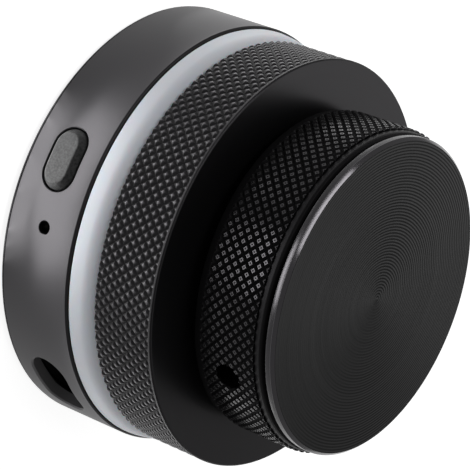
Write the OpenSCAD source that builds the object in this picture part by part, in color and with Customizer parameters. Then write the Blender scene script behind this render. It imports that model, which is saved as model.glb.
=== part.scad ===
/* [Casing] */
// Outer diameter of the casing
casing_d = 60; // [59.4:0.1:61.6]
// Height of the casing wall
casing_h = 12.15; // [12:0.05:12.8]
// Thickness of the casing wall
casing_wall = 2.3; // [2.1:0.1:2.4]
// Height of the rubber foot below the casing
foot_drop = 0.65; // [0.55:0.05:1.2]

/* [Port and side button] */
// Width of the port cut-out
port_w = 11.5; // [11.2:0.1:12.6]
// Height of the port cut-out
port_h = 6; // [5.6:0.1:6.4]
// Azimuth of the side button (the port is at 90 degrees)
button_az = 22; // [18:1:24]
// Width of the button window
button_w = 9; // [8:0.1:9.4]
// Height of the button window
button_h = 5.34; // [4.6:0.02:5.6]
// How far the button stands out of the casing
button_proud = 0.8; // [0.5:0.1:1.2]
// Azimuth of the pinhole
pinhole_az = 40; // [38:0.5:44]
// Diameter of the pinhole
pinhole_d = 1.8; // [1.2:0.05:1.9]

/* [Light ring] */
// Height of the light ring
light_h = 3.8; // [3.6:0.1:4.2]

/* [Knurled tier] */
// Diameter over the tips of the tier's knurl
tier_d = 58; // [57.8:0.1:58.2]
// Pyramids round the tier
tier_count = 121; // [90:1:130]
// Height from the light ring to the shoulder
tier_h = 9.82; // [9.6:0.02:10.2]
// Depth of both knurls
knurl_depth = 0.3; // [0.2:0.01:0.36]

/* [Knob] */
// Diameter over the tips of the knob's knurl
knob_d = 45.7; // [45.2:0.1:46]
// Pyramids round the knob
knob_count = 94; // [70:1:100]
// Gap between the shoulder and the knob
knob_gap = 1.53; // [1.42:0.01:2]
// Height of the knob
knob_h = 13.1; // [13:0.05:13.8]
// Diameter of the set screw hole
set_hole_d = 3.8; // [3.6:0.1:4]
// Azimuth of the set screw hole
set_az = 72.8; // [0:0.1:360]

/* [Hidden] */
$fn = 128;

// heights, from the surface that the foot stands on
base_z = foot_drop;
light_z = base_z + casing_h;
tier_z = light_z + light_h;
shoulder_z = tier_z + tier_h;
plate_z = shoulder_z - 2.4;
knob_z = shoulder_z + knob_gap;
face_z = knob_z + knob_h;

casing_r = casing_d / 2;
inner_r = casing_r - casing_wall;
port_z = base_z + 6.15;
button_z = base_z + 6.3;
pinhole_z = base_z + 6.67;
cover_t = 1.6;
rim_t = 0.5;
board_t = 1.6;
board_top = port_z - 1.6;
port_az = 90;

// cover screws stand in lugs, clamp screws go up into pillars
lug_az = 62;
lug_pitch_r = inner_r - 2.7;
pillar_az = 107;
pillar_pitch_r = tier_d / 2 - 5.1;
cup_r = tier_d / 2 - 2.5;
standoff_az = 20;
standoff_pitch_r = 17;

// encoder, hung from the shoulder plate
case_z = plate_z - 6.5;
rotor_z = case_z + 1.7;
rotor_h = 1.8;
shaft_r = 3;
shaft_top = plate_z + 14.9;
flat_off = 1.5;
detents = 24;
nut_z = shoulder_z + 0.5;

// groove and bevel at the knob's front
set_z = knob_z + 5.7;
knurl_z = knob_z + 1.5;
rim_z = face_z - 1.25;
skin_r = knob_d / 2 - knurl_depth - 0.05;
face_r = skin_r - 0.72;

// button and its switch
button_back = inner_r - 1.5;
cap_bevel = 0.85;
flange_t = 0.8;
switch_r0 = button_back - 6;

// a pill outline, long in x, centred
module pill(w, h) {
    square([w - h, h], center = true);
    for (s = [-1, 1]) translate([s * (w - h) / 2, 0]) circle(d = h);
}

// a pill prism that points outward at an azimuth, from radius r0 to r1
module radial_pill(az, z, w, h, r0, r1) {
    rotate([0, 0, az]) translate([r0, 0, z]) rotate([90, 0, 90])
        linear_extrude(height = r1 - r0) pill(w, h);
}

module radial_rod(az, z, d, r0, r1) {
    rotate([0, 0, az]) translate([r0, 0, z]) rotate([0, 90, 0]) cylinder(d = d, h = r1 - r0);
}

// a box that points outward at an azimuth: radial r0 to r1, width w, height from z0 to z1
module radial_box(az, r0, r1, w, z0, z1) {
    rotate([0, 0, az]) translate([r0, -w / 2, z0]) cube([r1 - r0, w, z1 - z0]);
}

// Diamond knurl. Points stand on half-pitch columns and rows. Where column plus row is even
// stands a pyramid tip, elsewhere two grooves cross. run_out, if given, is the radius at
// which the last row of grooves dies into the lip above.
function knurl_r(j, k, rows, tip, root, run_out) =
    (k == rows && run_out > 0) ? run_out : ((j + k) % 2 == 0 ? tip : root);
function knurl_points(n, rows, z0, step, tip, root, run_out) =
    [for (k = [0 : rows]) for (j = [0 : 2 * n - 1])
        let (a = 180 * j / n, r = knurl_r(j, k, rows, tip, root, run_out))
        [r * cos(a), r * sin(a), z0 + k * step]];
function circle_points(n, r, z) =
    [for (i = [0 : n - 1]) [r * cos(360 * i / n), r * sin(360 * i / n), z]];

module knurl(n, rows, z0, h, tip, root, inner, run_out = 0) {
    cols = 2 * n;
    lo = cols * (rows + 1);
    hi = lo + n;
    points = concat(knurl_points(n, rows, z0, h / rows, tip, root, run_out),
        circle_points(n, inner, z0), circle_points(n, inner, z0 + h));
    function id(j, k) = k * cols + (j + cols) % cols;
    // the four flanks of each pyramid; the end rows keep two
    flanks = [for (k = [0 : rows]) for (j = [0 : cols - 1]) if ((j + k) % 2 == 0)
        each concat(
            k < rows ? [[id(j, k), id(j, k + 1), id(j + 1, k)],
                        [id(j, k), id(j - 1, k), id(j, k + 1)]] : [],
            k > 0 ? [[id(j, k), id(j + 1, k), id(j, k - 1)],
                     [id(j, k), id(j, k - 1), id(j - 1, k)]] : [])];
    bottom = [for (i = [0 : n - 1]) let (p = (i + 1) % n, j = 2 * i)
        each [[lo + i, id(j, 0), id(j + 1, 0)], [lo + i, id(j + 1, 0), lo + p],
              [lo + p, id(j + 1, 0), id(j + 2, 0)]]];
    top = [for (i = [0 : n - 1]) let (p = (i + 1) % n, j = 2 * i)
        each [[hi + i, id(j + 1, rows), id(j, rows)], [hi + i, hi + p, id(j + 1, rows)],
              [hi + p, id(j + 2, rows), id(j + 1, rows)]]];
    bore = [for (i = [0 : n - 1]) let (p = (i + 1) % n)
        each [[lo + i, lo + p, hi + p], [lo + i, hi + p, hi + i]]];
    polyhedron(points = points, faces = concat(flanks, bottom, top, bore));
}

module rubber_foot() {
    color("dimgray") rotate_extrude() polygon([[13.2, 0], [22.3, 0], [22.5, 0.2],
        [22.5, foot_drop + 0.4], [13, foot_drop + 0.4], [13, 0.2]]);
}

module bottom_cover() {
    color("gray") difference() {
        union() {
            translate([0, 0, base_z]) rotate_extrude() polygon([[0, 0], [casing_r - 0.4, 0],
                [casing_r - 0.08, 0.32], [casing_r - 0.08, rim_t], [casing_r - 0.6, rim_t],
                [casing_r - 0.6, rim_t + 0.12], [inner_r - 0.3, rim_t + 0.12],
                [inner_r - 0.3, cover_t], [0, cover_t]]);
            for (i = [0 : 2]) rotate([0, 0, standoff_az + 120 * i])
                translate([standoff_pitch_r, 0, base_z + 1.2])
                cylinder(r = 2.2, h = board_top - board_t - base_z - 1.2);
        }
        // seat of the rubber foot
        translate([0, 0, base_z - 1]) difference() {
            cylinder(r = 22.6, h = 1.4);
            translate([0, 0, -1]) cylinder(r = 12.9, h = 4);
        }
        for (i = [0 : 3]) rotate([0, 0, lug_az + 90 * i]) translate([lug_pitch_r, 0, base_z - 0.01]) {
            cylinder(r1 = 2.0, r2 = 1.1, h = 0.91);
            cylinder(r = 1.1, h = 3);
        }
        for (i = [0 : 2]) rotate([0, 0, standoff_az + 120 * i])
            translate([standoff_pitch_r, 0, base_z + 1]) cylinder(r = 0.75, h = 5);
    }
}

module cover_screws() {
    color("silver") for (i = [0 : 3]) rotate([0, 0, lug_az + 90 * i])
        translate([lug_pitch_r, 0, base_z]) difference() {
            rotate_extrude() polygon([[0, 0.05], [1.85, 0.05], [0.95, 0.95], [0.95, 5.7],
                [0.7, 6], [0, 6]]);
            translate([0, 0, -1]) cylinder(r = 0.6, h = 1.6, $fn = 6);
        }
}

module casing() {
    color("dimgray") difference() {
        union() {
            // wall that stands on the cover's rim, a step that leaves a shadow gap under the
            // light ring, and an inner flange that carries the ring
            rotate_extrude() polygon([[inner_r, base_z + rim_t + 0.12],
                [casing_r - 0.08, base_z + rim_t + 0.12], [casing_r, base_z + rim_t + 0.2],
                [casing_r, light_z - 0.42], [casing_r - 0.23, light_z - 0.19],
                [casing_r - 1, light_z - 0.19], [casing_r - 1, light_z], [21.6, light_z],
                [21.6, light_z - 2], [inner_r - 0.7, light_z - 2], [inner_r, light_z - 2.7]]);
            for (i = [0 : 3]) rotate([0, 0, lug_az + 90 * i])
                translate([lug_pitch_r, 0, base_z + cover_t])
                cylinder(r = 2.8, h = light_z - 1 - base_z - cover_t);
        }
        for (i = [0 : 3]) rotate([0, 0, lug_az + 90 * i])
            translate([lug_pitch_r, 0, base_z]) cylinder(r = 1, h = 7);
        for (i = [0 : 2]) rotate([0, 0, pillar_az + 120 * i])
            translate([pillar_pitch_r, 0, light_z - 4]) cylinder(r = 1.35, h = 6);
        radial_pill(port_az, port_z, port_w, port_h, inner_r - 3, casing_r + 2);
        // the wall is thinner round the port
        intersection() {
            cylinder(r = casing_r - 1.6, h = light_z - 2.8);
            radial_box(port_az, inner_r - 2, casing_r, 15, port_z - 4.2, port_z + 3.2);
        }
        radial_pill(button_az, button_z, button_w, button_h, inner_r - 3, casing_r + 2);
        radial_rod(pinhole_az, pinhole_z, pinhole_d, inner_r - 3, casing_r + 2);
    }
}

module light_ring() {
    r_low = casing_r - 0.34;
    r_high = tier_d / 2 + 0.3;
    round_r = 1;
    color("white") rotate_extrude() polygon(concat(
        [[cup_r + 0.2, light_z], [r_low, light_z], [r_low - 0.04, light_z + 0.6],
         [r_high, tier_z - round_r]],
        [for (a = [15 : 15 : 75]) [r_high - round_r * (1 - cos(a)), tier_z - round_r * (1 - sin(a))]],
        [[r_high - round_r, tier_z], [cup_r + 1.1, tier_z], [cup_r + 1.1, light_z + 1],
         [cup_r + 0.2, light_z + 1]]));
}

module upper_housing() {
    root = tier_d / 2 - knurl_depth;
    lip = tier_d / 2;
    color("slategray") difference() {
        union() {
            // cup with a spigot inside the light ring and a bevelled shoulder
            rotate_extrude() polygon([[cup_r, tier_z - 0.7], [cup_r + 1, tier_z - 0.7],
                [cup_r + 1, tier_z],
                [root - 0.05, tier_z], [root - 0.05, shoulder_z - 0.5],
                [lip, shoulder_z - 0.5], [lip, shoulder_z - 0.35],
                [lip - 0.45, shoulder_z], [0, shoulder_z], [0, plate_z], [cup_r - 1, plate_z],
                [cup_r, plate_z - 1]]);
            knurl(tier_count, 12, tier_z + 0.05, tier_h - 0.4, tier_d / 2, root, root - 1.1,
                root - 0.1);
            for (i = [0 : 2]) rotate([0, 0, pillar_az + 120 * i])
                translate([pillar_pitch_r, 0, light_z]) cylinder(r = 2.75, h = plate_z - light_z + 1);
        }
        translate([0, 0, plate_z - 1]) cylinder(r = 3.6, h = 5);
        for (i = [0 : 2]) rotate([0, 0, pillar_az + 120 * i])
            translate([pillar_pitch_r, 0, light_z - 1]) cylinder(r = 1.25, h = 7.5);
    }
}

module clamp_screws() {
    color("silver") for (i = [0 : 2]) rotate([0, 0, pillar_az + 120 * i])
        translate([pillar_pitch_r, 0, light_z - 2]) difference() {
            rotate_extrude() polygon([[0, -1.5], [1.7, -1.5], [2.1, -1.1], [2.1, 0],
                [1.2, 0], [1.2, 6.9], [0.9, 7.2], [0, 7.2]]);
            translate([0, 0, -2.5]) cylinder(r = 0.75, h = 1.9, $fn = 6);
        }
}

module volume_knob() {
    root = knob_d / 2 - knurl_depth;
    color("darkslategray") difference() {
        union() {
            // outer skirt, hub and front slab, with the groove and bevel of the front rim
            rotate_extrude() polygon([[0, knob_z + 1.75], [7.2, knob_z + 1.75],
                [7.5, knob_z + 2.05], [7.5, face_z - 4.65], [19.5, face_z - 4.65],
                [19.5, knob_z], [skin_r - 0.4, knob_z], [skin_r, knob_z + 0.4],
                [skin_r, face_z - 2.1], [skin_r - 0.15, face_z - 1.8], [face_r, face_z - 1.55],
                [face_r, rim_z - 0.15], [face_r + 0.46, rim_z], [face_r + 0.46, face_z - 0.46],
                [face_r, face_z], [0, face_z]]);
            knurl(knob_count, 12, knurl_z, face_z - 2.85 - knurl_z, knob_d / 2, root, root - 1.3);
        }
        // bore with one flat that faces the set screw
        rotate([0, 0, set_az]) intersection() {
            translate([0, 0, knob_z]) cylinder(r = shaft_r + 0.02, h = shaft_top + 0.2 - knob_z);
            translate([-8 + flat_off, -4, knob_z - 1]) cube([8.02, 8, 16]);
        }
        radial_rod(set_az, set_z, set_hole_d, 0, knob_d / 2 + 1);
    }
}

module grub_screw() {
    color("black") rotate([0, 0, set_az]) translate([0, 0, set_z]) rotate([0, 90, 0]) difference() {
        rotate_extrude() polygon([[0, flat_off], [1.2, flat_off], [set_hole_d / 2 - 0.05, 2.2],
            [set_hole_d / 2 - 0.05, 6.6], [1.6, 6.9], [0, 6.9]]);
        translate([0, 0, 4.6]) cylinder(r = 1.15, h = 4, $fn = 6);
    }
}

module side_button() {
    cap_r = casing_r + button_proud;
    w = button_w - 0.5;
    h = button_h - 0.5;
    r0 = button_back + 0.4;
    r1 = cap_r - cap_bevel - 0.2;
    r2 = cap_r + 0.15;
    slope = 0.75;
    color("darkgray") union() {
        // cap with a wide bevel all round, its face curved like the casing
        intersection() {
            rotate([0, 0, button_az]) translate([0, 0, button_z]) union() {
                radial_pill(0, 0, w, h, r0, r1);
                translate([0, (w - h) / 2, 0]) rotate([90, 0, 0]) linear_extrude(height = w - h)
                    polygon([[r1 - 0.1, -h / 2], [r1, -h / 2], [r2, slope * (r2 - r1) - h / 2],
                        [r2, h / 2 - slope * (r2 - r1)], [r1, h / 2], [r1 - 0.1, h / 2]]);
                for (s = [-1, 1]) translate([r1, s * (w - h) / 2, 0]) rotate([0, 90, 0])
                    cylinder(r1 = h / 2, r2 = h / 2 - slope * (r2 - r1), h = r2 - r1);
            }
            cylinder(r = cap_r, h = light_z);
        }
        // retaining flange behind the wall
        radial_pill(button_az, button_z, button_w + 1.4, button_h + 1.2, button_back,
            button_back + flange_t);
    }
}

module encoder_case() {
    color("black") difference() {
        union() {
            translate([-6, -6, case_z]) cube([12, 12, 4.7]);
            // ledges under the terminals
            translate([-3.4, -6.6, case_z]) cube([6.8, 13.2, 1]);
        }
        translate([0, 0, rotor_z - 0.2]) cylinder(r = 5.3, h = 6);
        translate([0, 0, case_z + 0.5]) cylinder(r = 2.7, h = 3);
    }
}

module encoder_bushing() {
    color("silver") difference() {
        union() {
            translate([-6, -6, plate_z - 1.8]) cube([12, 12, 1.4]);
            translate([0, 0, plate_z - 1]) rotate_extrude() polygon([[0, 0], [3.5, 0],
                [3.5, 5.5], [3.2, 5.8], [0, 5.8]]);
        }
        translate([0, 0, plate_z - 3]) cylinder(r = shaft_r + 0.05, h = 12);
    }
}

module encoder_frame() {
    color("lightgray") difference() {
        union() {
            translate([-6.4, -4, plate_z - 0.4]) cube([12.8, 8, 0.4]);
            for (s = [-1, 1]) translate([s * 6.2 - 0.2, -4, case_z + 0.1])
                cube([0.4, 8, 6.3]);
            for (s = [-1, 1]) translate([s * 6.2 - 0.2, -1, case_z - board_t - 0.8])
                cube([0.4, 2, 4]);
        }
        translate([0, 0, plate_z - 1]) cylinder(r = 3.55, h = 2);
    }
}

// three signal terminals on one side and two switch terminals on the other
module encoder_pins() {
    color("gold") for (p = [[-2.5, 1], [0, 1], [2.5, 1], [-2.5, -1], [2.5, -1]])
        translate([p[0], 0, 0]) mirror([0, p[1] < 0 ? 1 : 0, 0]) union() {
            translate([-0.4, 5.7, case_z + 1]) cube([0.8, 1.5, 0.3]);
            translate([-0.4, 6.9, case_z - board_t - 0.9]) cube([0.8, 0.3, 3.8]);
        }
}

module encoder_washer() {
    color("silver") difference() {
        translate([0, 0, shoulder_z]) cylinder(r = 6, h = 0.5);
        translate([0, 0, shoulder_z - 1]) cylinder(r = 3.6, h = 3);
    }
}

module encoder_nut() {
    color("silver") difference() {
        intersection() {
            translate([0, 0, nut_z]) cylinder(r = 5.77, h = 1.8, $fn = 6);
            translate([0, 0, nut_z]) rotate_extrude() polygon([[0, 0], [5.3, 0], [5.9, 0.35],
                [5.9, 1.45], [5.3, 1.8], [0, 1.8]]);
        }
        translate([0, 0, nut_z - 1]) cylinder(r = 3.55, h = 4);
    }
}

module encoder_shaft() {
    top = shaft_top - 0.1;
    color("silver") union() {
        difference() {
            rotate_extrude() polygon([[0, plate_z - 2.4], [3.6, plate_z - 2.4],
                [3.6, plate_z - 1.9], [shaft_r, plate_z - 1.9], [shaft_r, top - 0.5],
                [shaft_r - 0.5, top], [0, top]]);
            // flat for the knob's set screw
            rotate([0, 0, set_az]) translate([flat_off, -4, plate_z + 5.4]) cube([4, 8, 12]);
        }
        // keyed tail that slides in the wheel and ends over the dome
        intersection() {
            translate([0, 0, case_z + 1.33]) cylinder(r = 2.3, h = plate_z - 2.1 - case_z - 1.33);
            rotate([0, 0, set_az]) translate([-1.5, -4, case_z]) cube([3, 8, 8]);
        }
    }
}

module encoder_rotor() {
    color("ivory") difference() {
        translate([0, 0, rotor_z]) rotate_extrude() polygon([[0, 0], [4.8, 0], [5, 0.2],
            [5, rotor_h], [0, rotor_h]]);
        intersection() {
            translate([0, 0, rotor_z - 1]) cylinder(r = 2.36, h = 5);
            rotate([0, 0, set_az]) translate([-1.56, -4, rotor_z - 1]) cube([3.12, 8, 6]);
        }
        // detents on the upper face
        for (i = [0 : detents - 1]) rotate([0, 0, 360 * i / detents])
            translate([3.6, 0, rotor_z + rotor_h + 0.15]) rotate([0, 90, 0])
            cylinder(r = 0.35, h = 3, $fn = 24);
    }
}

module detent_spring() {
    color("gold") union() {
        difference() {
            translate([0, 0, plate_z - 2.1]) cylinder(r = 5.2, h = 0.25);
            translate([0, 0, plate_z - 3]) cylinder(r = 3.9, h = 3);
        }
        // two pressed pips ride over the detents
        for (s = [0, 180]) rotate([0, 0, s]) translate([4.5, 0, plate_z - 2.9])
            cylinder(r1 = 0.25, r2 = 0.45, h = 0.9);
    }
}

module push_dome() {
    color("silver") translate([0, 0, case_z + 0.5]) rotate_extrude() polygon(concat(
        [for (a = [0 : 15 : 90]) [2.4 * cos(a), 0.75 * sin(a)]],
        [for (a = [90 : -15 : 0]) [2.25 * cos(a), 0.6 * sin(a)]]));
}

module encoder_board() {
    z0 = case_z - board_t;
    color("darkgreen") difference() {
        translate([0, 0, z0]) cylinder(r = 20.6, h = board_t);
        for (s = [-1, 1]) translate([s * 6.2 - 0.35, -1.2, z0 - 1]) cube([0.7, 2.4, 4]);
        for (p = [[-2.5, 7.05], [0, 7.05], [2.5, 7.05], [-2.5, -7.05], [2.5, -7.05]])
            translate([p[0], p[1], z0 - 1]) cylinder(r = 0.6, h = 4);
    }
}

module ring_lamps() {
    z0 = case_z - board_t;
    color("lightyellow") for (i = [0 : 11]) rotate([0, 0, 2 + 30 * i]) union() {
        translate([18.8, -1.2, z0 - 1]) cube([1, 2.4, 1]);
        translate([19.8, -0.8, z0 - 0.9]) cube([0.6, 1.6, 0.8]);
    }
}

module main_board() {
    z0 = board_top - board_t;
    color("darkgreen") difference() {
        translate([0, 0, z0]) cylinder(r = inner_r - 1.5, h = board_t);
        for (i = [0 : 3]) rotate([0, 0, lug_az + 90 * i])
            translate([lug_pitch_r, 0, z0 - 1]) cylinder(r = 3.1, h = 4);
        // flat that leaves room for the button's flange
        rotate([0, 0, button_az]) translate([button_back - 1.3, -20, z0 - 1]) cube([10, 40, 4]);
        for (i = [0 : 2]) rotate([0, 0, standoff_az + 120 * i])
            translate([standoff_pitch_r, 0, z0 - 1]) cylinder(r = 0.9, h = 4);
    }
}

module board_screws() {
    color("silver") for (i = [0 : 2]) rotate([0, 0, standoff_az + 120 * i])
        translate([standoff_pitch_r, 0, board_top]) difference() {
            rotate_extrude() polygon([[0, -3.2], [0.5, -3.2], [0.7, -3], [0.7, 0], [1.5, 0],
                [1.5, 0.7], [1.2, 1], [0, 1]]);
            translate([0, 0, 0.5]) cylinder(r = 0.5, h = 2, $fn = 6);
        }
}

module controller_chip() {
    color("black") translate([-1, -5, board_top]) union() {
        translate([-3.5, -3.5, 0.1]) cube([7, 7, 1]);
        for (s = [0 : 90 : 270]) rotate([0, 0, s]) for (i = [-3 : 3])
            translate([3.3, i * 0.9 - 0.17, 0]) cube([1.2, 0.34, 0.3]);
    }
}

module port_shell() {
    color("silver") difference() {
        union() {
            radial_pill(port_az, port_z, 8.94, 3.2, 19.3, 26.6);
            // tabs that seat the shell on the board
            for (r = [20.2, 24.2]) radial_box(port_az, r, r + 1.2, 10.2, port_z - 1.6, port_z - 1.3);
        }
        radial_pill(port_az, port_z, 8.34, 2.6, 18.3, 27.6);
    }
}

module port_tongue() {
    color("black") union() {
        radial_pill(port_az, port_z, 8.3, 2.56, 19.4, 20.8);
        radial_box(port_az, 20.5, 25.9, 6.7, port_z - 0.35, port_z + 0.35);
    }
}

module button_switch() {
    color("black") difference() {
        radial_box(button_az, switch_r0, switch_r0 + 4, 6, board_top, board_top + 3.5);
        radial_box(button_az, switch_r0 + 2.4, switch_r0 + 5, 3.2, button_z - 0.95, button_z + 0.95);
    }
}

module switch_stem() {
    color("ivory") radial_box(button_az, switch_r0 + 3, button_back, 2.8,
        button_z - 0.75, button_z + 0.75);
}

module status_lamp() {
    color("white") union() {
        radial_box(pinhole_az, 23.2, 25.4, 3, board_top, pinhole_z + 1);
        radial_rod(pinhole_az, pinhole_z, 1.5, 25, 27);
    }
}

module board_link() {
    z1 = case_z - board_t;
    color("black") union() {
        translate([-14.5, -5.1, board_top]) cube([5, 10.2, 7.5]);
        for (x = [-13.27, -10.73]) for (i = [0 : 3])
            translate([x, i * 2.54 - 3.81, board_top + 7]) cylinder(r = 0.32, h = z1 - board_top - 7);
    }
}

rubber_foot();
bottom_cover();
cover_screws();
casing();
light_ring();
upper_housing();
clamp_screws();
volume_knob();
grub_screw();
side_button();
encoder_case();
encoder_bushing();
encoder_frame();
encoder_pins();
encoder_washer();
encoder_nut();
encoder_shaft();
encoder_rotor();
detent_spring();
push_dome();
encoder_board();
ring_lamps();
main_board();
board_screws();
controller_chip();
port_shell();
port_tongue();
button_switch();
switch_stem();
status_lamp();
board_link();
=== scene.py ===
import math

import bmesh
import bpy
from mathutils import Matrix, Vector


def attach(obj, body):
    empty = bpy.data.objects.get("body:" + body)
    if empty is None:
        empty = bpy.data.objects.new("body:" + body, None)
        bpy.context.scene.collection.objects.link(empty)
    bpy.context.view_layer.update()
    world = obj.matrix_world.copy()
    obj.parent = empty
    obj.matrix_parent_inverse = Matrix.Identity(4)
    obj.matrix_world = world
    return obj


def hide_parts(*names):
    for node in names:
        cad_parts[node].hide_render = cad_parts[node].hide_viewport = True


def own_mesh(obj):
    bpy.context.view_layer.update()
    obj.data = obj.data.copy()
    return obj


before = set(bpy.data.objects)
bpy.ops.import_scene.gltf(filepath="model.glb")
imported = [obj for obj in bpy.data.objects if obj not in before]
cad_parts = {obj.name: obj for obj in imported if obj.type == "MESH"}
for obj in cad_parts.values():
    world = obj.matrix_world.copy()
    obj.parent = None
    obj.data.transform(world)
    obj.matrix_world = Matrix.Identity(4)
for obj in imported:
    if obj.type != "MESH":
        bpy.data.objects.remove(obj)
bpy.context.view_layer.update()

MM = 0.001
UP = Vector((0, 0, 1))

# ---------------------------------------------------------------- sizes, in mm, as in the CAD source
BASE_Z = 0.65
CASING_R, CASING_H, CASING_WALL = 30.0, 12.15, 2.3
LIGHT_H, TIER_H, KNOB_GAP, KNOB_H = 3.8, 9.82, 1.53, 13.1
TIER_TIP_R, TIER_COUNT = 29.0, 121
KNOB_TIP_R, KNOB_COUNT = 22.85, 94
KNURL_DEPTH, KNURL_ROWS = 0.3, 12
FLANGE_R, NUT_HOLE_R, BORE_R = 21.6, 3.6, 3.02
BUTTON_PROUD, BUTTON_GAP = 0.8, 0.5

RIM_Z = BASE_Z + 0.62
LIGHT_Z = BASE_Z + CASING_H
TIER_Z = LIGHT_Z + LIGHT_H
SHOULDER_Z = TIER_Z + TIER_H
PLATE_Z = SHOULDER_Z - 2.4
DOME_Z = PLATE_Z - 6
KNOB_Z = SHOULDER_Z + KNOB_GAP
FACE_Z = KNOB_Z + KNOB_H
INNER_R = CASING_R - CASING_WALL
CUP_R = TIER_TIP_R - 2.5

# How finely turned pieces are divided, and the angle in degrees above which an edge stays sharp.
CASING_SIDES, DOME_SIDES = 360, 72
TURNED_EDGE, KNURL_EDGE = 33, 20

# Openings by azimuth in degrees, height of the middle, width and height.
PORT = dict(az=90.0, z=BASE_Z + 6.15, w=11.5, h=6.0)
BUTTON = dict(az=22.0, z=BASE_Z + 6.3, w=9.0, h=5.34)
PINHOLE = dict(az=40.0, z=BASE_Z + 6.67, w=1.8, h=1.8)
SET_SCREW = dict(az=72.8, z=KNOB_Z + 5.7, d=3.8)


# ---------------------------------------------------------------- node helpers
def new_material(name, **sockets):
    mat = bpy.data.materials.new(name)
    mat.use_nodes = True
    bsdf = mat.node_tree.nodes["Principled BSDF"]
    for key, value in sockets.items():
        bsdf.inputs[key.replace("_", " ")].default_value = value
    return mat, mat.node_tree, bsdf


def add(tree, kind, **props):
    node = tree.nodes.new(kind)
    for key, value in props.items():
        setattr(node, key, value)
    return node


def math_node(tree, op, a, b=None):
    node = add(tree, "ShaderNodeMath", operation=op)
    for i, v in enumerate((a, b)):
        if v is None:
            continue
        if isinstance(v, (int, float)):
            node.inputs[i].default_value = v
        else:
            tree.links.new(v, node.inputs[i])
    return node.outputs[0]


def object_coords(tree):
    return add(tree, "ShaderNodeTexCoord").outputs["Object"]


def noise(tree, vector, scale, detail):
    node = add(tree, "ShaderNodeTexNoise")
    node.inputs["Scale"].default_value = scale
    node.inputs["Detail"].default_value = detail
    tree.links.new(vector, node.inputs["Vector"])
    return node.outputs["Fac"]


def ramp(tree, fac, low, high):
    """Two colours, mixed by fac."""
    node = add(tree, "ShaderNodeValToRGB")
    node.color_ramp.elements[0].color = (*low, 1)
    node.color_ramp.elements[1].color = (*high, 1)
    node.color_ramp.elements[0].position = 0.3
    node.color_ramp.elements[1].position = 0.7
    tree.links.new(fac, node.inputs["Fac"])
    return node.outputs["Color"]


def map_range(tree, value, lo, hi):
    """Stretches a value that runs from 0 to 1 so that it runs from lo to hi."""
    node = add(tree, "ShaderNodeMapRange")
    tree.links.new(value, node.inputs["Value"])
    node.inputs["To Min"].default_value = lo
    node.inputs["To Max"].default_value = hi
    return node.outputs["Result"]


def bump(tree, bsdf, height, strength, distance):
    node = add(tree, "ShaderNodeBump")
    node.inputs["Strength"].default_value = strength
    node.inputs["Distance"].default_value = distance
    tree.links.new(height, node.inputs["Height"])
    tree.links.new(node.outputs["Normal"], bsdf.inputs["Normal"])


def radius_and_height(tree):
    """Radius from the knob's axis and height, as two sockets."""
    xyz = add(tree, "ShaderNodeSeparateXYZ")
    tree.links.new(object_coords(tree), xyz.inputs[0])
    x2 = math_node(tree, "MULTIPLY", xyz.outputs["X"], xyz.outputs["X"])
    y2 = math_node(tree, "MULTIPLY", xyz.outputs["Y"], xyz.outputs["Y"])
    return math_node(tree, "SQRT", math_node(tree, "ADD", x2, y2)), xyz.outputs["Z"]


def lathe_coords(tree):
    """Coordinates in which a pattern runs in rings round the axis."""
    r, z = radius_and_height(tree)
    both = add(tree, "ShaderNodeCombineXYZ")
    tree.links.new(r, both.inputs["X"])
    tree.links.new(z, both.inputs["Y"])
    return both.outputs[0]


def tangent(tree, bsdf):
    node = add(tree, "ShaderNodeTangent", direction_type="RADIAL", axis="Z")
    tree.links.new(node.outputs[0], bsdf.inputs["Tangent"])


def radial_tilt(tree, amount):
    """The surface's normal, tilted away from the knob's axis by amount."""
    outward = add(tree, "ShaderNodeVectorMath", operation="MULTIPLY")
    tree.links.new(object_coords(tree), outward.inputs[0])
    outward.inputs[1].default_value = (1, 1, 0)
    unit = add(tree, "ShaderNodeVectorMath", operation="NORMALIZE")
    tree.links.new(outward.outputs[0], unit.inputs[0])
    tilt = add(tree, "ShaderNodeVectorMath", operation="SCALE")
    tree.links.new(unit.outputs[0], tilt.inputs[0])
    tree.links.new(amount, tilt.inputs["Scale"])
    to_world = add(tree, "ShaderNodeVectorTransform", vector_type="VECTOR",
                   convert_from="OBJECT", convert_to="WORLD")
    tree.links.new(tilt.outputs[0], to_world.inputs[0])
    total = add(tree, "ShaderNodeVectorMath", operation="ADD")
    tree.links.new(add(tree, "ShaderNodeNewGeometry").outputs["Normal"], total.inputs[0])
    tree.links.new(to_world.outputs[0], total.inputs[1])
    final = add(tree, "ShaderNodeVectorMath", operation="NORMALIZE")
    tree.links.new(total.outputs[0], final.inputs[0])
    return final.outputs[0]


# ---------------------------------------------------------------- materials
ANODISED_TINT = (0.98, 0.94, 1.0, 1)
ANODISED_GRAIN = 0.02
GROOVE_PITCH, GROOVE_SLOPE = 0.42 * MM, 0.15


def anodised(name, shade, rough, spread, aniso=0.0, ior=1.45):
    """Dark anodised aluminium, turned: fine rings round the axis and a faint grain."""
    mat, tree, bsdf = new_material(name, Anisotropic=aniso, IOR=ior, Specular_Tint=ANODISED_TINT)
    rings = noise(tree, lathe_coords(tree), 9000, 4)
    grit = noise(tree, object_coords(tree), 6000, 2)
    cloud = noise(tree, object_coords(tree), 60, 3)
    lo = tuple(c * 0.88 for c in shade)
    hi = tuple(c * 1.12 for c in shade)
    tree.links.new(ramp(tree, cloud, lo, hi), bsdf.inputs["Base Color"])
    tree.links.new(map_range(tree, rings, rough - spread, rough + spread), bsdf.inputs["Roughness"])
    bump(tree, bsdf, math_node(tree, "ADD", rings, grit), ANODISED_GRAIN, 0.1 * MM)
    if aniso:
        tangent(tree, bsdf)
    return mat


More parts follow.
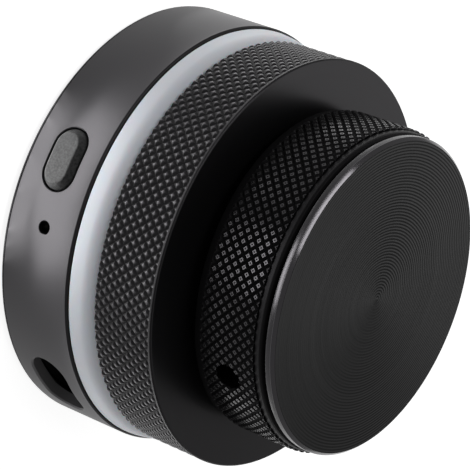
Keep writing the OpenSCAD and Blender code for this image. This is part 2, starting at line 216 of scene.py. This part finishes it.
def spun_face(name):
    """The knob's front: concentric tool marks, which tilt the surface to and from the axis.

    The marks also change the colour and the reflectance a little, in lighter and darker stripes that
    paint the sheen of the marks.
    """
    dark, light = (0.001, 0.001, 0.0011), (0.014, 0.014, 0.0145)
    mat, tree, bsdf = new_material(name, Anisotropic=0.85, IOR=1.4)
    radius, _ = radius_and_height(tree)
    wave = math_node(tree, "SINE", math_node(tree, "MULTIPLY", radius, 2 * math.pi / GROOVE_PITCH))
    rings = noise(tree, lathe_coords(tree), 2500, 3)
    drift = map_range(tree, rings, 0.35, 0.65)
    # lighter colour and more reflectance in stripes along the marks: a painted sheen
    painted_sheen = math_node(tree, "ADD", math_node(tree, "MULTIPLY", wave, 0.2), drift)
    tree.links.new(ramp(tree, painted_sheen, dark, light), bsdf.inputs["Base Color"])
    tree.links.new(map_range(tree, painted_sheen, 0.05, 0.8), bsdf.inputs["Specular IOR Level"])
    tree.links.new(map_range(tree, rings, 0.3, 0.4), bsdf.inputs["Roughness"])
    tilted = radial_tilt(tree, math_node(tree, "MULTIPLY", wave, GROOVE_SLOPE))
    tree.links.new(tilted, bsdf.inputs["Normal"])
    tangent(tree, bsdf)
    return mat


def plain(name, low, high, rough, scale=400, strength=0.1, **sockets):
    """Moulded plastic, rubber or small metal parts: slight colour change and a fine grain."""
    mat, tree, bsdf = new_material(name, **sockets)
    fine = noise(tree, object_coords(tree), scale * 10, 3)
    cloud = noise(tree, object_coords(tree), scale, 3)
    tree.links.new(ramp(tree, cloud, low, high), bsdf.inputs["Base Color"])
    tree.links.new(map_range(tree, fine, rough - 0.06, rough + 0.06), bsdf.inputs["Roughness"])
    bump(tree, bsdf, fine, strength, 0.05 * MM)
    return mat


MATERIALS = {
    "casing": anodised("casing_anodised", (0.004, 0.004, 0.0043), 0.36, 0.04, aniso=0.85),
    # a lighter copy of the casing's anodising: painted light on the wall inside the port
    "port_wall_painted_light": anodised("port_wall_anodised", (0.085, 0.083, 0.085), 0.5, 0.05),
    "cover": anodised("cover_anodised", (0.014, 0.014, 0.0148), 0.45, 0.05),
    "tier": anodised("tier_anodised", (0.004, 0.004, 0.0043), 0.34, 0.05, aniso=0.6),
    # tier knurl: the slopes' copy is darker and reflects less, painted shade in the grooves; the tops' copy
    # is lighter and shinier, partly polish and partly painted sheen
    "tier_flank_painted_shade": anodised("tier_flank_anodised", (0.003, 0.003, 0.0031), 0.45, 0.05, ior=1.32),
    "tier_crest_polish_and_sheen": anodised("tier_crest_anodised", (0.006, 0.006, 0.0064), 0.3, 0.05, ior=1.5),
    "knob": anodised("knob_anodised", (0.002, 0.002, 0.0022), 0.24, 0.04, aniso=0.8, ior=1.25),
    # knob knurl: the slopes' copy reflects less, painted shade in the grooves; the tops' copy is lighter
    # and shinier, partly polish and partly painted sheen
    "knob_flank_painted_shade": anodised("knob_flank_anodised", (0.002, 0.002, 0.0021), 0.45, 0.05, ior=1.19),
    "knob_crest_polish_and_sheen": anodised("knob_crest_anodised", (0.003, 0.003, 0.0032), 0.24, 0.04, ior=1.35),
    "rim": anodised("knob_rim", (0.003, 0.003, 0.0032), 0.2, 0.03, aniso=0.6, ior=1.34),
    "bevel": anodised("knob_cut_bevel", (0.004, 0.004, 0.0043), 0.16, 0.02, ior=1.85),
    "face": spun_face("knob_spun_face"),
    "ring": plain("milky_diffuser", (0.58, 0.6, 0.645), (0.61, 0.63, 0.675), 0.42, 90, 0.03,
                  Subsurface_Weight=0.25, Subsurface_Scale=0.002, IOR=1.4),
    "button": plain("button_blasted", (0.001, 0.001, 0.0011), (0.03, 0.03, 0.031), 0.5, 3000, 0.5,
                    IOR=1.34),
    "hole": plain("blind_black", (0.003, 0.003, 0.003), (0.005, 0.005, 0.005), 0.7),
    "rubber": plain("foot_rubber", (0.012, 0.012, 0.012), (0.02, 0.02, 0.02), 0.75, 500, 0.3),
    "black_steel": plain("black_steel", (0.02, 0.02, 0.02), (0.035, 0.035, 0.035), 0.4, Metallic=1.0),
    "steel": plain("zinc_steel", (0.45, 0.45, 0.46), (0.6, 0.6, 0.61), 0.3, Metallic=1.0),
    "nickel": plain("nickel_brass", (0.52, 0.5, 0.46), (0.62, 0.6, 0.56), 0.28, Metallic=1.0),
    "brass": plain("spring_brass", (0.62, 0.44, 0.2), (0.76, 0.58, 0.3), 0.3, Metallic=1.0),
    "black_plastic": plain("black_plastic", (0.012, 0.012, 0.012), (0.025, 0.025, 0.025), 0.5),
    "ivory_plastic": plain("ivory_plastic", (0.6, 0.56, 0.46), (0.7, 0.66, 0.56), 0.45),
    "board": plain("board_laminate", (0.01, 0.07, 0.035), (0.016, 0.1, 0.05), 0.35),
    "lamp": plain("clear_lamp", (0.75, 0.73, 0.6), (0.85, 0.83, 0.7), 0.15),
}

NODE_MATERIALS = {
    "rubber_foot": "rubber", "bottom_cover": "cover", "cover_screws": "black_steel",
    "clamp_screws": "steel", "grub_screw": "black_steel", "encoder_case": "black_plastic",
    "encoder_bushing": "nickel", "encoder_frame": "steel", "encoder_pins": "brass",
    "encoder_washer": "steel", "encoder_nut": "nickel", "encoder_shaft": "steel",
    "encoder_rotor": "ivory_plastic", "detent_spring": "brass",
    "encoder_board": "board", "ring_lamps": "lamp", "main_board": "board", "board_screws": "steel",
    "controller_chip": "black_plastic", "port_shell": "steel", "port_tongue": "black_plastic",
    "button_switch": "black_plastic", "switch_stem": "ivory_plastic", "status_lamp": "lamp",
    "board_link": "black_plastic",
}
for node_name, key in NODE_MATERIALS.items():
    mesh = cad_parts[node_name].data
    mesh.materials.clear()
    mesh.materials.append(MATERIALS[key])


# ---------------------------------------------------------------- mesh helpers
class Shape:
    """Vertices in mm, faces and one material number per face."""

    def __init__(self):
        self.verts, self.faces, self.mats = [], [], []

    def vert(self, r, angle, z):
        self.verts.append((r * math.cos(angle), r * math.sin(angle), z))
        return len(self.verts) - 1

    def point(self, x, y, z):
        self.verts.append((x, y, z))
        return len(self.verts) - 1

    def face(self, ids, mat):
        self.faces.append(ids)
        self.mats.append(mat)

    def build(self, name, materials, sharp=TURNED_EDGE):
        mesh = bpy.data.meshes.new(name)
        mesh.from_pydata([tuple(c * MM for c in v) for v in self.verts], [], self.faces)
        for m in materials:
            mesh.materials.append(m)
        mesh.polygons.foreach_set("material_index", self.mats)
        bm = bmesh.new()
        bm.from_mesh(mesh)
        bmesh.ops.remove_doubles(bm, verts=bm.verts, dist=1e-7)
        bmesh.ops.recalc_face_normals(bm, faces=bm.faces)
        bm.to_mesh(mesh)
        bm.free()
        obj = bpy.data.objects.new(name, mesh)
        bpy.context.scene.collection.objects.link(obj)
        smooth(mesh, sharp)
        return obj


def smooth(mesh, sharp):
    mesh.polygons.foreach_set("use_smooth", [True] * len(mesh.polygons))
    mesh.set_sharp_from_angle(angle=math.radians(sharp))


def softened(corners, steps):
    """A closed profile whose corners are rounded off.

    A corner is (radius, height, bevel, material of the run after it).
    """
    out = []
    count = len(corners)
    for i, (r, z, bevel, mat) in enumerate(corners):
        before, after = corners[i - 1], corners[(i + 1) % count]
        if bevel <= 0:
            out.append((r, z, mat))
            continue
        ends = []
        for other in (before, after):
            dr, dz = other[0] - r, other[1] - z
            length = math.hypot(dr, dz)
            share = min(bevel, 0.45 * length) / length
            ends.append((r + dr * share, z + dz * share))
        (ar, az), (br, bz) = ends
        for s in range(steps + 1):
            t = s / steps
            k0, k1, k2 = (1 - t) ** 2, 2 * t * (1 - t), t * t
            out.append((k0 * ar + k1 * r + k2 * br, k0 * az + k1 * z + k2 * bz, mat))
    return out


def lathe(shape, corners, count, steps=4):
    """Turns the softened profile round the axis, with count sides."""
    rings = []
    profile = softened(corners, steps)
    for r, z, _ in profile:
        if r < 1e-6:
            rings.append([shape.vert(0, 0, z)])
        else:
            rings.append([shape.vert(r, 2 * math.pi * i / count, z) for i in range(count)])
    for k, (_, _, mat) in enumerate(profile):
        a, b = rings[k], rings[(k + 1) % len(rings)]
        if len(a) == 1 and len(b) == 1:
            continue
        for i in range(count):
            j = (i + 1) % count
            if len(a) == 1:
                shape.face([a[0], b[i], b[j]], mat)
            elif len(b) == 1:
                shape.face([a[i], b[0], a[j]], mat)
            else:
                shape.face([a[i], b[i], b[j], a[j]], mat)


# Material numbers of the turned body and of the knurl's slopes and tops. The slopes' material reflects
# less than the body's, painted shade in the grooves; the tops' is lighter and reflects more, partly the
# tool's polish and partly a painted sheen.
BODY, PAINTED_SHADE, POLISH_AND_SHEEN = 0, 1, 2
END_RELIEF = 0.8
TIER_DIAMOND = [(0.5, 0.1, PAINTED_SHADE), (0.4, 0.05, POLISH_AND_SHEEN), (0.24, 0.01, POLISH_AND_SHEEN), (0.1, 0.0, POLISH_AND_SHEEN)]
KNOB_DIAMOND = [(0.5, 0.02, PAINTED_SHADE), (0.46, 0.0, POLISH_AND_SHEEN), (0.22, 0.0, POLISH_AND_SHEEN), (0.16, 0.02, PAINTED_SHADE)]


def knurl(shape, n, z0, h, tip, root, inner, levels):
    """A sleeve of n diamonds round, on the same lattice as the CAD's pyramids.

    A level is (share of the diamond, depth under the tip, material of the slope up to it), from
    the foot of the diamond to its middle. On the two end planes the diamonds keep only a share
    of their height.
    """
    step, turn = h / KNURL_ROWS, math.pi / n
    corner, ends = {}, {}

    def corner_id(j, k):
        key = (j % (2 * n), k)
        if key not in corner:
            corner[key] = shape.vert(root, key[0] * turn, z0 + k * step)
        return corner[key]

    for k in range(KNURL_ROWS + 1):
        for j in range(k % 2, 2 * n, 2):
            around = [(1, 0), (0, 1), (-1, 0), (0, -1)]
            if k == 0:
                around = around[:3]
            elif k == KNURL_ROWS:
                around = [(-1, 0), (0, -1), (1, 0)]
            rings = [[corner_id(j + dj, k + dk) for dj, dk in around]]
            for scale, depth, _ in levels:
                ring = []
                for dj, dk in around:
                    radius = tip - depth
                    if k in (0, KNURL_ROWS) and dk == 0:
                        radius = root + (radius - root) * END_RELIEF
                    ring.append(shape.vert(radius, (j + dj * scale) * turn, z0 + (k + dk * scale) * step))
                rings.append(ring)
            pairs = range(len(around)) if len(around) == 4 else range(2)
            for low, high, (_, _, mat) in zip(rings[:-1], rings[1:], levels):
                for a in pairs:
                    b = (a + 1) % len(around)
                    shape.face([low[a], low[b], high[b], high[a]], mat)
            shape.face(rings[-1], levels[-1][2])
            if len(around) == 3:
                ends[(j, k)] = [ring[0] for ring in rings] + [ring[2] for ring in rings[::-1]]
    bores = []
    for k in (0, KNURL_ROWS):
        bore = {j: shape.vert(inner, j * turn, z0 + k * step) for j in range(1, 2 * n, 2)}
        bores.append(bore)
        for j in range(0, 2 * n, 2):
            left, right = (j - 1) % (2 * n), (j + 1) % (2 * n)
            inner_pair = [bore[left], bore[right]] if k == 0 else [bore[right], bore[left]]
            shape.face(ends[(j, k)] + inner_pair, BODY)
    bottom, top = bores
    for j in range(0, 2 * n, 2):
        left, right = (j - 1) % (2 * n), (j + 1) % (2 * n)
        shape.face([bottom[left], bottom[right], top[right], top[left]], BODY)


# Steps along a pill's half circle and along its straight side.
PILL_ARC, PILL_RUN = 16, 10


def pill_points(w, h):
    """Outline of a pill, long in t, with the same number of points whatever its size."""
    r = h / 2
    s = (w - h) / 2
    points = []
    for side in (1, -1):
        for i in range(PILL_ARC + 1):
            a = math.radians(-90 + 180 * i / PILL_ARC)
            points.append((side * (s + r * math.cos(a)), side * r * math.sin(a)))
        for i in range(1, PILL_RUN):
            points.append((side * (s - 2 * s * i / PILL_RUN), side * r))
    return points


def tube(shape, rings, mat):
    """Joins rings of points that follow each other and closes both ends."""
    count = len(rings[0])
    for a, b in zip(rings[:-1], rings[1:]):
        for i in range(count):
            j = (i + 1) % count
            shape.face([a[i], a[j], b[j], b[i]], mat)
    shape.face(rings[0][::-1], mat)
    shape.face(rings[-1], mat)


def pill_loft(shape, az, zc, levels, mat=BODY):
    """Joins pill outlines that stand one outside the other at an azimuth.

    A level is (distance from the axis, w, h, curved like the casing).
    """
    ca, sa = math.cos(math.radians(az)), math.sin(math.radians(az))
    rings = []
    for dist, w, h, curved in levels:
        ring = []
        for t, z in pill_points(w, h):
            x = math.sqrt(dist * dist - t * t) if curved else dist
            ring.append(shape.point(x * ca - t * sa, x * sa + t * ca, zc + z))
        rings.append(ring)
    tube(shape, rings, mat)


def radial_rod(shape, az, zc, d, near, far, count=48):
    """A round rod that points outward at an azimuth, from near to far."""
    ca, sa = math.cos(math.radians(az)), math.sin(math.radians(az))
    rings = []
    for dist in (near, far):
        ring = []
        for i in range(count):
            turn = 2 * math.pi * i / count
            t, z = d / 2 * math.cos(turn), d / 2 * math.sin(turn)
            ring.append(shape.point(dist * ca - t * sa, dist * sa + t * ca, zc + z))
        rings.append(ring)
    tube(shape, rings, BODY)


def cut(obj, cutter_shape, materials, sharp=TURNED_EDGE):
    """Takes the cutter's solids out of obj, for good."""
    cutter = cutter_shape.build(obj.name + "_cutter", materials)
    mod = obj.modifiers.new("cut", "BOOLEAN")
    mod.operation = "DIFFERENCE"
    mod.solver = "EXACT"
    mod.object = cutter
    bpy.context.view_layer.update()
    done = bpy.data.meshes.new_from_object(obj.evaluated_get(bpy.context.evaluated_depsgraph_get()))
    obj.modifiers.remove(mod)
    obj.data = done
    bpy.data.objects.remove(cutter)
    smooth(done, sharp)


def join(obj, other):
    """Adds the other object's mesh to obj's."""
    bm = bmesh.new()
    bm.from_mesh(obj.data)
    bm.from_mesh(other.data)
    bm.to_mesh(obj.data)
    bm.free()
    bpy.data.objects.remove(other)


# ---------------------------------------------------------------- casing
# Material numbers in the casing's list. The port's wall takes a lighter copy of the casing's
# anodising: painted light inside the port.
HOLE, PORT_WALL_PAINTED_LIGHT = 1, 2
CASING_MATERIALS = [MATERIALS[key] for key in ("casing", "hole", "port_wall_painted_light")]
GAP_Z = LIGHT_Z - 0.19
FLANGE_Z = LIGHT_Z - 2
shape = Shape()
lathe(shape, [
    (INNER_R, RIM_Z, 0, 0), (CASING_R - 0.06, RIM_Z, 0.03, 0), (CASING_R, RIM_Z + 0.08, 0.04, 0),
    (CASING_R, GAP_Z - 0.23, 0.06, 0), (CASING_R - 0.23, GAP_Z, 0.04, HOLE),
    (CASING_R - 1, GAP_Z, 0, HOLE), (CASING_R - 1, LIGHT_Z, 0, 0), (FLANGE_R, LIGHT_Z, 0, 0),
    (FLANGE_R, FLANGE_Z, 0, 0), (INNER_R - 0.7, FLANGE_Z, 0, 0), (INNER_R, FLANGE_Z - 0.7, 0, 0),
], CASING_SIDES)
casing = shape.build("casing_turned", CASING_MATERIALS)

# The cutters reach from a radius well inside the wall to one well outside it.
CUT_FROM_R, CUT_TO_R = 24.0, CASING_R + 1.5

# The wall is thinner round the port.
POCKET_R, POCKET_W, POCKET_STEPS = CASING_R - 1.6, 15.0, 24
POCKET_DOWN, POCKET_UP = 4.2, 3.2
pocket = Shape()
middle, reach = math.radians(PORT["az"]), math.asin(POCKET_W / 2 / POCKET_R)
outline = [(POCKET_R, middle + reach * (2 * i / POCKET_STEPS - 1)) for i in range(POCKET_STEPS + 1)]
outline += [(CUT_FROM_R, outline[-1][1]), (CUT_FROM_R, outline[0][1])]
levels = (PORT["z"] - POCKET_DOWN, PORT["z"] + POCKET_UP)
tube(pocket, [[pocket.vert(r, a, z) for r, a in outline] for z in levels], BODY)
cut(casing, pocket, [MATERIALS["casing"]])

# Port, button window and pinhole, each with a small chamfer.
CUT_OVER = 0.3
cutters = Shape()
# the port's wall gets the lighter copy of the anodising, painted light
for spot, chamfer, mat in ((PORT, 0.22, PORT_WALL_PAINTED_LIGHT), (BUTTON, 0.12, BODY), (PINHOLE, 0.08, BODY)):
    w, h = spot["w"], spot["h"]
    wide, high = w + 2 * (chamfer + CUT_OVER), h + 2 * (chamfer + CUT_OVER)
    pill_loft(cutters, spot["az"], spot["z"], [
        (CUT_FROM_R, w, h, False), (CASING_R - chamfer, w, h, True),
        (CASING_R + CUT_OVER, wide, high, True), (CUT_TO_R, wide, high, False)], mat)
cut(casing, cutters, CASING_MATERIALS)
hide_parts("casing")
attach(casing, "base")

# ---------------------------------------------------------------- light ring
RING_TOP_R = TIER_TIP_R + 0.3
STEP_Z = LIGHT_Z + 1
shape = Shape()
lathe(shape, [
    (CUP_R + 0.2, LIGHT_Z, 0.05, 0), (CASING_R - 0.34, LIGHT_Z, 0.05, 0),
    (RING_TOP_R + 0.3, LIGHT_Z + 0.6, 0.3, 0), (RING_TOP_R, TIER_Z - 1.5, 1.2, 0),
    (RING_TOP_R - 1.1, TIER_Z, 0.5, 0), (CUP_R + 1.1, TIER_Z, 0, 0), (CUP_R + 1.1, STEP_Z, 0, 0),
    (CUP_R + 0.2, STEP_Z, 0, 0),
], CASING_SIDES, 6)
ring = shape.build("diffuser_ring", [MATERIALS["ring"]])
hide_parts("light_ring")
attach(ring, "base")

# ---------------------------------------------------------------- knurled tier
shape = Shape()
root = TIER_TIP_R - KNURL_DEPTH
skin = root - 0.05
lip_r, lip_z = TIER_TIP_R + 0.02, SHOULDER_Z - 0.5
# The lip's band and its bevel take the knurl slopes' duller material: painted shade.
lathe(shape, [
    (CUP_R, TIER_Z - 0.7, 0, 0), (CUP_R + 1, TIER_Z - 0.7, 0, 0), (CUP_R + 1, TIER_Z, 0, 0),
    (skin, TIER_Z, 0, 0), (skin, lip_z, 0, 0), (lip_r, lip_z, 0.03, PAINTED_SHADE),
    (lip_r, SHOULDER_Z - 0.2, 0.05, PAINTED_SHADE), (lip_r - 0.2, SHOULDER_Z, 0.1, 0),
    (NUT_HOLE_R, SHOULDER_Z, 0, 0), (NUT_HOLE_R, PLATE_Z, 0, 0), (CUP_R - 1, PLATE_Z, 0, 0),
    (CUP_R, PLATE_Z - 1, 0, 0),
], 4 * TIER_COUNT)
knurl(shape, TIER_COUNT, TIER_Z + 0.05, TIER_H - 0.4, TIER_TIP_R, root, root - 1.1, TIER_DIAMOND)
TIER_MATERIALS = [MATERIALS[key] for key in ("tier", "tier_flank_painted_shade", "tier_crest_polish_and_sheen")]
tier = shape.build("tier_turned", TIER_MATERIALS, KNURL_EDGE)
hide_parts("upper_housing")
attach(tier, "base")

# ---------------------------------------------------------------- knob
# Material numbers in the knob's list, after those of the knurl.
FACE, BEVEL, RIM = 3, 4, 5
KNOB_MATERIALS = [MATERIALS[key] for key in ("knob", "knob_flank_painted_shade", "knob_crest_polish_and_sheen", "face", "bevel", "rim")]
HUB_R, SLAB_R, BEVEL_W = 7.5, 19.5, 0.46
hub_z, slab_z, bore_z = KNOB_Z + 1.75, FACE_Z - 4.65, PLATE_Z + 15.1
shape = Shape()
root = KNOB_TIP_R - KNURL_DEPTH
skin = root - 0.05
face_r, rim_z = skin - 0.72, FACE_Z - 1.25
# The smooth bands below and above the knurl and the step into the groove take the knurl slopes' duller
# material: painted shade.
lathe(shape, [
    (BORE_R, hub_z, 0, 0), (HUB_R, hub_z, 0.3, 0), (HUB_R, slab_z, 0, 0), (SLAB_R, slab_z, 0, 0),
    (SLAB_R, KNOB_Z, 0.05, 0), (skin - 0.4, KNOB_Z, 0.1, 0), (skin, KNOB_Z + 0.4, 0.1, PAINTED_SHADE),
    (skin, FACE_Z - 2.1, 0.1, PAINTED_SHADE), (skin - 0.15, FACE_Z - 1.8, 0.08, PAINTED_SHADE),
    (face_r, FACE_Z - 1.55, 0.04, 0), (face_r, rim_z - 0.15, 0.04, 0),
    (face_r + BEVEL_W, rim_z, 0.06, RIM), (face_r + BEVEL_W, FACE_Z - BEVEL_W, 0.04, BEVEL),
    (face_r, FACE_Z, 0.04, FACE), (0, FACE_Z, 0, 0), (0, bore_z, 0, 0), (BORE_R, bore_z, 0, 0),
], 4 * KNOB_COUNT)
sleeve = Shape()
knurl(sleeve, KNOB_COUNT, KNOB_Z + 1.5, KNOB_H - 4.35, KNOB_TIP_R, root, root - 1.3, KNOB_DIAMOND)
knob = shape.build("knob_turned", KNOB_MATERIALS, KNURL_EDGE)
grip = sleeve.build("knob_grip", KNOB_MATERIALS, KNURL_EDGE)

# The set screw's bore, from inside the shaft's bore to well outside the knurl.
DRILL_FROM_R, DRILL_TO_R = 0.4, KNOB_TIP_R + 2
drill = Shape()
radial_rod(drill, SET_SCREW["az"], SET_SCREW["z"], SET_SCREW["d"], DRILL_FROM_R, DRILL_TO_R)
for part in (knob, grip):
    cut(part, drill, KNOB_MATERIALS, KNURL_EDGE)
join(knob, grip)
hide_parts("volume_knob")
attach(knob, "knob")

# ---------------------------------------------------------------- side button
# Height over the casing's wall and inset of the outline, up the flank and round the edge. On the
# face only the inset changes.
BUTTON_FLANK = [(-0.1, 0), (0, 0.05), (0.66, 0.56), (0.74, 0.63), (0.785, 0.71)]
BUTTON_FACE_INSETS = (0.82, 1.1, 1.4, 1.7, 2.0, 2.2)
BUTTON_BACK_R, STOP_FROM_R, STOP_TO_R = 26.6, 26.2, 27.0
shape = Shape()
w, h = BUTTON["w"] - BUTTON_GAP, BUTTON["h"] - BUTTON_GAP
insets = [*BUTTON_FACE_INSETS, h / 2 - 0.001]
levels = [(BUTTON_BACK_R, w, h, False)]
for rise, inset in BUTTON_FLANK + [(BUTTON_PROUD, inset) for inset in insets]:
    levels.append((CASING_R + rise, w - 2 * inset, h - 2 * inset, True))
pill_loft(shape, BUTTON["az"], BUTTON["z"], levels)

# The flange behind the wall, which keeps the button in.
wide, high = BUTTON["w"] + 1.4, BUTTON["h"] + 1.2
stop = [(r, wide, high, False) for r in (STOP_FROM_R, STOP_TO_R)]
pill_loft(shape, BUTTON["az"], BUTTON["z"], stop)
button = shape.build("button_cap", [MATERIALS["button"]])
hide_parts("side_button")
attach(button, "side_button")

# ---------------------------------------------------------------- snap dome
# It lies under the encoder's shaft, which presses it flat. Its skin runs between two ellipses.
DOME_OUTER, DOME_INNER, DOME_STEPS = (2.4, 0.75), (2.25, 0.6), 12


def dome_arc(radius, height):
    """Corners of a quarter ellipse, from the foot of the dome to its top."""
    angles = [math.radians(90 * i / DOME_STEPS) for i in range(DOME_STEPS + 1)]
    return [(radius * math.cos(a), DOME_Z + height * math.sin(a), 0, BODY) for a in angles]


shape = Shape()
lathe(shape, dome_arc(*DOME_OUTER) + dome_arc(*DOME_INNER)[::-1], DOME_SIDES)
dome = shape.build("snap_dome", [MATERIALS["steel"]])
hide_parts("push_dome")
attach(dome, "base")
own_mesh(dome)

# ---------------------------------------------------------------- floor
# It lies a hair under the rubber foot, so that the two faces don't coincide.
FLOOR_HALF, FLOOR_Z = 6, -0.02 * MM
FLOOR_GLOW, FLOOR_SHADE = 0.85, 0.6
floor_corners = [(x * FLOOR_HALF, y * FLOOR_HALF, FLOOR_Z) for x, y in ((-1, -1), (1, -1), (1, 1), (-1, 1))]
floor_mesh = bpy.data.meshes.new("floor")
floor_mesh.from_pydata(floor_corners, [], [(0, 1, 2, 3)])
floor = bpy.data.objects.new("floor", floor_mesh)
bpy.context.scene.collection.objects.link(floor)


def seen_directly(tree):
    """1 for camera, glossy and transmission rays, 0 for diffuse light."""
    path = add(tree, "ShaderNodeLightPath")
    either = math_node(tree, "MAXIMUM", path.outputs["Is Camera Ray"], path.outputs["Is Glossy Ray"])
    return math_node(tree, "MAXIMUM", either, path.outputs["Is Transmission Ray"])


floor_mat, tree, bsdf = new_material("floor_pale")
tree.nodes.remove(bsdf)
shade = add(tree, "ShaderNodeBsdfDiffuse")
shade.inputs["Color"].default_value = (FLOOR_SHADE, FLOOR_SHADE, FLOOR_SHADE, 1)
glow = add(tree, "ShaderNodeEmission")
tree.links.new(math_node(tree, "MULTIPLY", seen_directly(tree), FLOOR_GLOW), glow.inputs["Strength"])
both = add(tree, "ShaderNodeAddShader")
tree.links.new(shade.outputs[0], both.inputs[0])
tree.links.new(glow.outputs[0], both.inputs[1])
tree.links.new(both.outputs[0], tree.nodes["Material Output"].inputs["Surface"])
floor_mesh.materials.append(floor_mat)

# ---------------------------------------------------------------- the photograph's point of view
CAM_EL, CAM_ROLL, CAM_AZ = 34.1266, 110.806, 27.0


def direction(azimuth, elevation):
    """Unit vector for two angles in degrees."""
    a, e = math.radians(azimuth), math.radians(elevation)
    return Vector((math.cos(a) * math.cos(e), math.sin(a) * math.cos(e), math.sin(e)))


back = direction(CAM_AZ, CAM_EL)

# ---------------------------------------------------------------- world and lamps
WORLD_LIGHT = 0.3
LAMP_AIM_Z = 20 * MM
BEVEL_SLOPE, BEVEL_AZIMUTHS, STRIP_OVERLAP = 45, (-14, 4, 21), 1.03
world = bpy.data.worlds.new("studio")
bpy.context.scene.world = world
world.use_nodes = True
sky = world.node_tree.nodes["Background"]
sky.inputs["Color"].default_value = (1, 1, 1, 1)
sky.inputs["Strength"].default_value = WORLD_LIGHT


def area_lamp(name, width, height, watts, matrix):
    lamp = bpy.data.lights.new(name, "AREA")
    lamp.shape = "RECTANGLE"
    lamp.size, lamp.size_y, lamp.energy = width, height, watts
    obj = bpy.data.objects.new(name, lamp)
    bpy.context.scene.collection.objects.link(obj)
    obj.matrix_world = matrix
    return obj


def placed(place, x, y, z):
    """Matrix that stands at place, with the three axes given."""
    return Matrix.Translation(place) @ Matrix((x, y, z)).transposed().to_4x4()


def softbox(name, azimuth, elevation, distance, width, height, watts):
    """A rectangular lamp that faces the object; width runs level, height up."""
    away = direction(azimuth, elevation)
    turn = away.to_track_quat("Z", "Y").to_matrix().to_4x4()
    area_lamp(name, width, height, watts, Matrix.Translation(away * distance + UP * LAMP_AIM_Z) @ turn)


def floor_panel(name, azimuth, near, far, width, radiance, lift, spread=180):
    """A flat lamp that lies on the floor and faces up, which the vertical walls mirror.

    It runs from near to far away from the axis and is unseen by the camera.
    """
    outward, across = direction(azimuth, 0), direction(azimuth + 90, 0)
    depth = far - near
    matrix = placed(outward * (near + far) / 2 + UP * lift, across, outward, -UP)
    panel = area_lamp(name, width, depth, math.pi * width * depth * radiance, matrix)
    panel.data.spread = math.radians(spread)
    panel.visible_camera = False


def bevel_lamp(name, start, end, width, distance, radiance):
    """A strip lamp that stands where the knob's bevel mirrors the camera, between two azimuths."""
    ends = []
    for azimuth in (start, end):
        normal = direction(azimuth, BEVEL_SLOPE)
        ends.append((2 * normal.dot(back) * normal - back) * distance + UP * FACE_Z * MM)
    place, along = (ends[0] + ends[1]) / 2, ends[1] - ends[0]
    length = along.length * STRIP_OVERLAP
    x = along.normalized()
    y = place.normalized().cross(x).normalized()
    matrix = placed(place, x, y, x.cross(y))
    strip = area_lamp(name, length, width, math.pi * length * width * radiance, matrix)
    strip.visible_camera = False


for start, end in zip(BEVEL_AZIMUTHS[:-1], BEVEL_AZIMUTHS[1:]):
    bevel_lamp("bevel_%d" % start, start, end, width=0.05, distance=0.4, radiance=5.5)
softbox("back", azimuth=242, elevation=46, distance=0.25, width=0.21, height=0.19, watts=0.087)

# Name, azimuth in degrees, near edge, far edge and width in m, radiance, lift off the floor in m,
# and the spread in degrees where it is less than 180. The nearer a panel lies, the lower on the
# walls it shows.
PANELS = [
    ("low_left", 95, 0.047, 0.060, 0.08, 3.0, 0.0005),
    ("low_right", -41, 0.047, 0.060, 0.08, 3.3, 0.0005),
    ("low_1a", 19, 0.0303, 0.0340, 0.0060, 5.6, 0.0009),
    ("low_1b", 29, 0.0303, 0.0340, 0.0050, 6.2, 0.0010),
    ("low_1c", 39, 0.0303, 0.0340, 0.0060, 5.6, 0.0009),
    ("low_1d", 11.5, 0.0303, 0.0350, 0.0028, 3.7, 0.0008),
    ("low_1e", 46.5, 0.0303, 0.0350, 0.0028, 3.7, 0.0008),
    ("low_1f", 7.0, 0.0303, 0.0360, 0.0024, 1.6, 0.0007),
    ("low_1g", 51.0, 0.0303, 0.0360, 0.0024, 1.6, 0.0007),
    ("low_2", 29, 0.034, 0.037, 0.037, 6.9, 0.0011),
    ("low_3", 29, 0.037, 0.040, 0.040, 6.9, 0.0012),
    ("low_4", 29, 0.040, 0.046, 0.043, 6.9, 0.0013),
    ("low_side", -63, 0.031, 0.043, 0.030, 0.4, 0.0010),
    ("low_far", 32, 0.071, 0.090, 0.054, 21.0, 0.0010, 140),
]
for panel_row in PANELS:
    floor_panel(*panel_row)

# ---------------------------------------------------------------- camera
# Distance and shifts are in casing radii, as they came out of the fit to the photograph.
CAM_DIST, CAM_RIGHT, CAM_UP, CAM_FOCAL_PX = 11.7909, 0.4091, -0.1124, 2492.5278
PHOTO_PX, SENSOR_MM, CAM_FOOT_Z = 470, 36.0, 0.8
roll = math.radians(CAM_ROLL)
level = direction(CAM_AZ + 90, 0)
upward = back.cross(level)
cam_x = math.cos(roll) * level + math.sin(roll) * upward
cam_y = -math.sin(roll) * level + math.cos(roll) * upward
place = (back * CAM_DIST + cam_x * CAM_RIGHT + cam_y * CAM_UP) * CASING_R * MM + UP * CAM_FOOT_Z * MM
cam_data = bpy.data.cameras.new("camera")
cam_data.sensor_width = SENSOR_MM
cam_data.lens = SENSOR_MM * CAM_FOCAL_PX / PHOTO_PX
camera = bpy.data.objects.new("camera", cam_data)
bpy.context.scene.collection.objects.link(camera)
camera.matrix_world = placed(place, cam_x, cam_y, back)
bpy.context.scene.camera = camera
bpy.context.scene.view_settings.view_transform = "Standard"
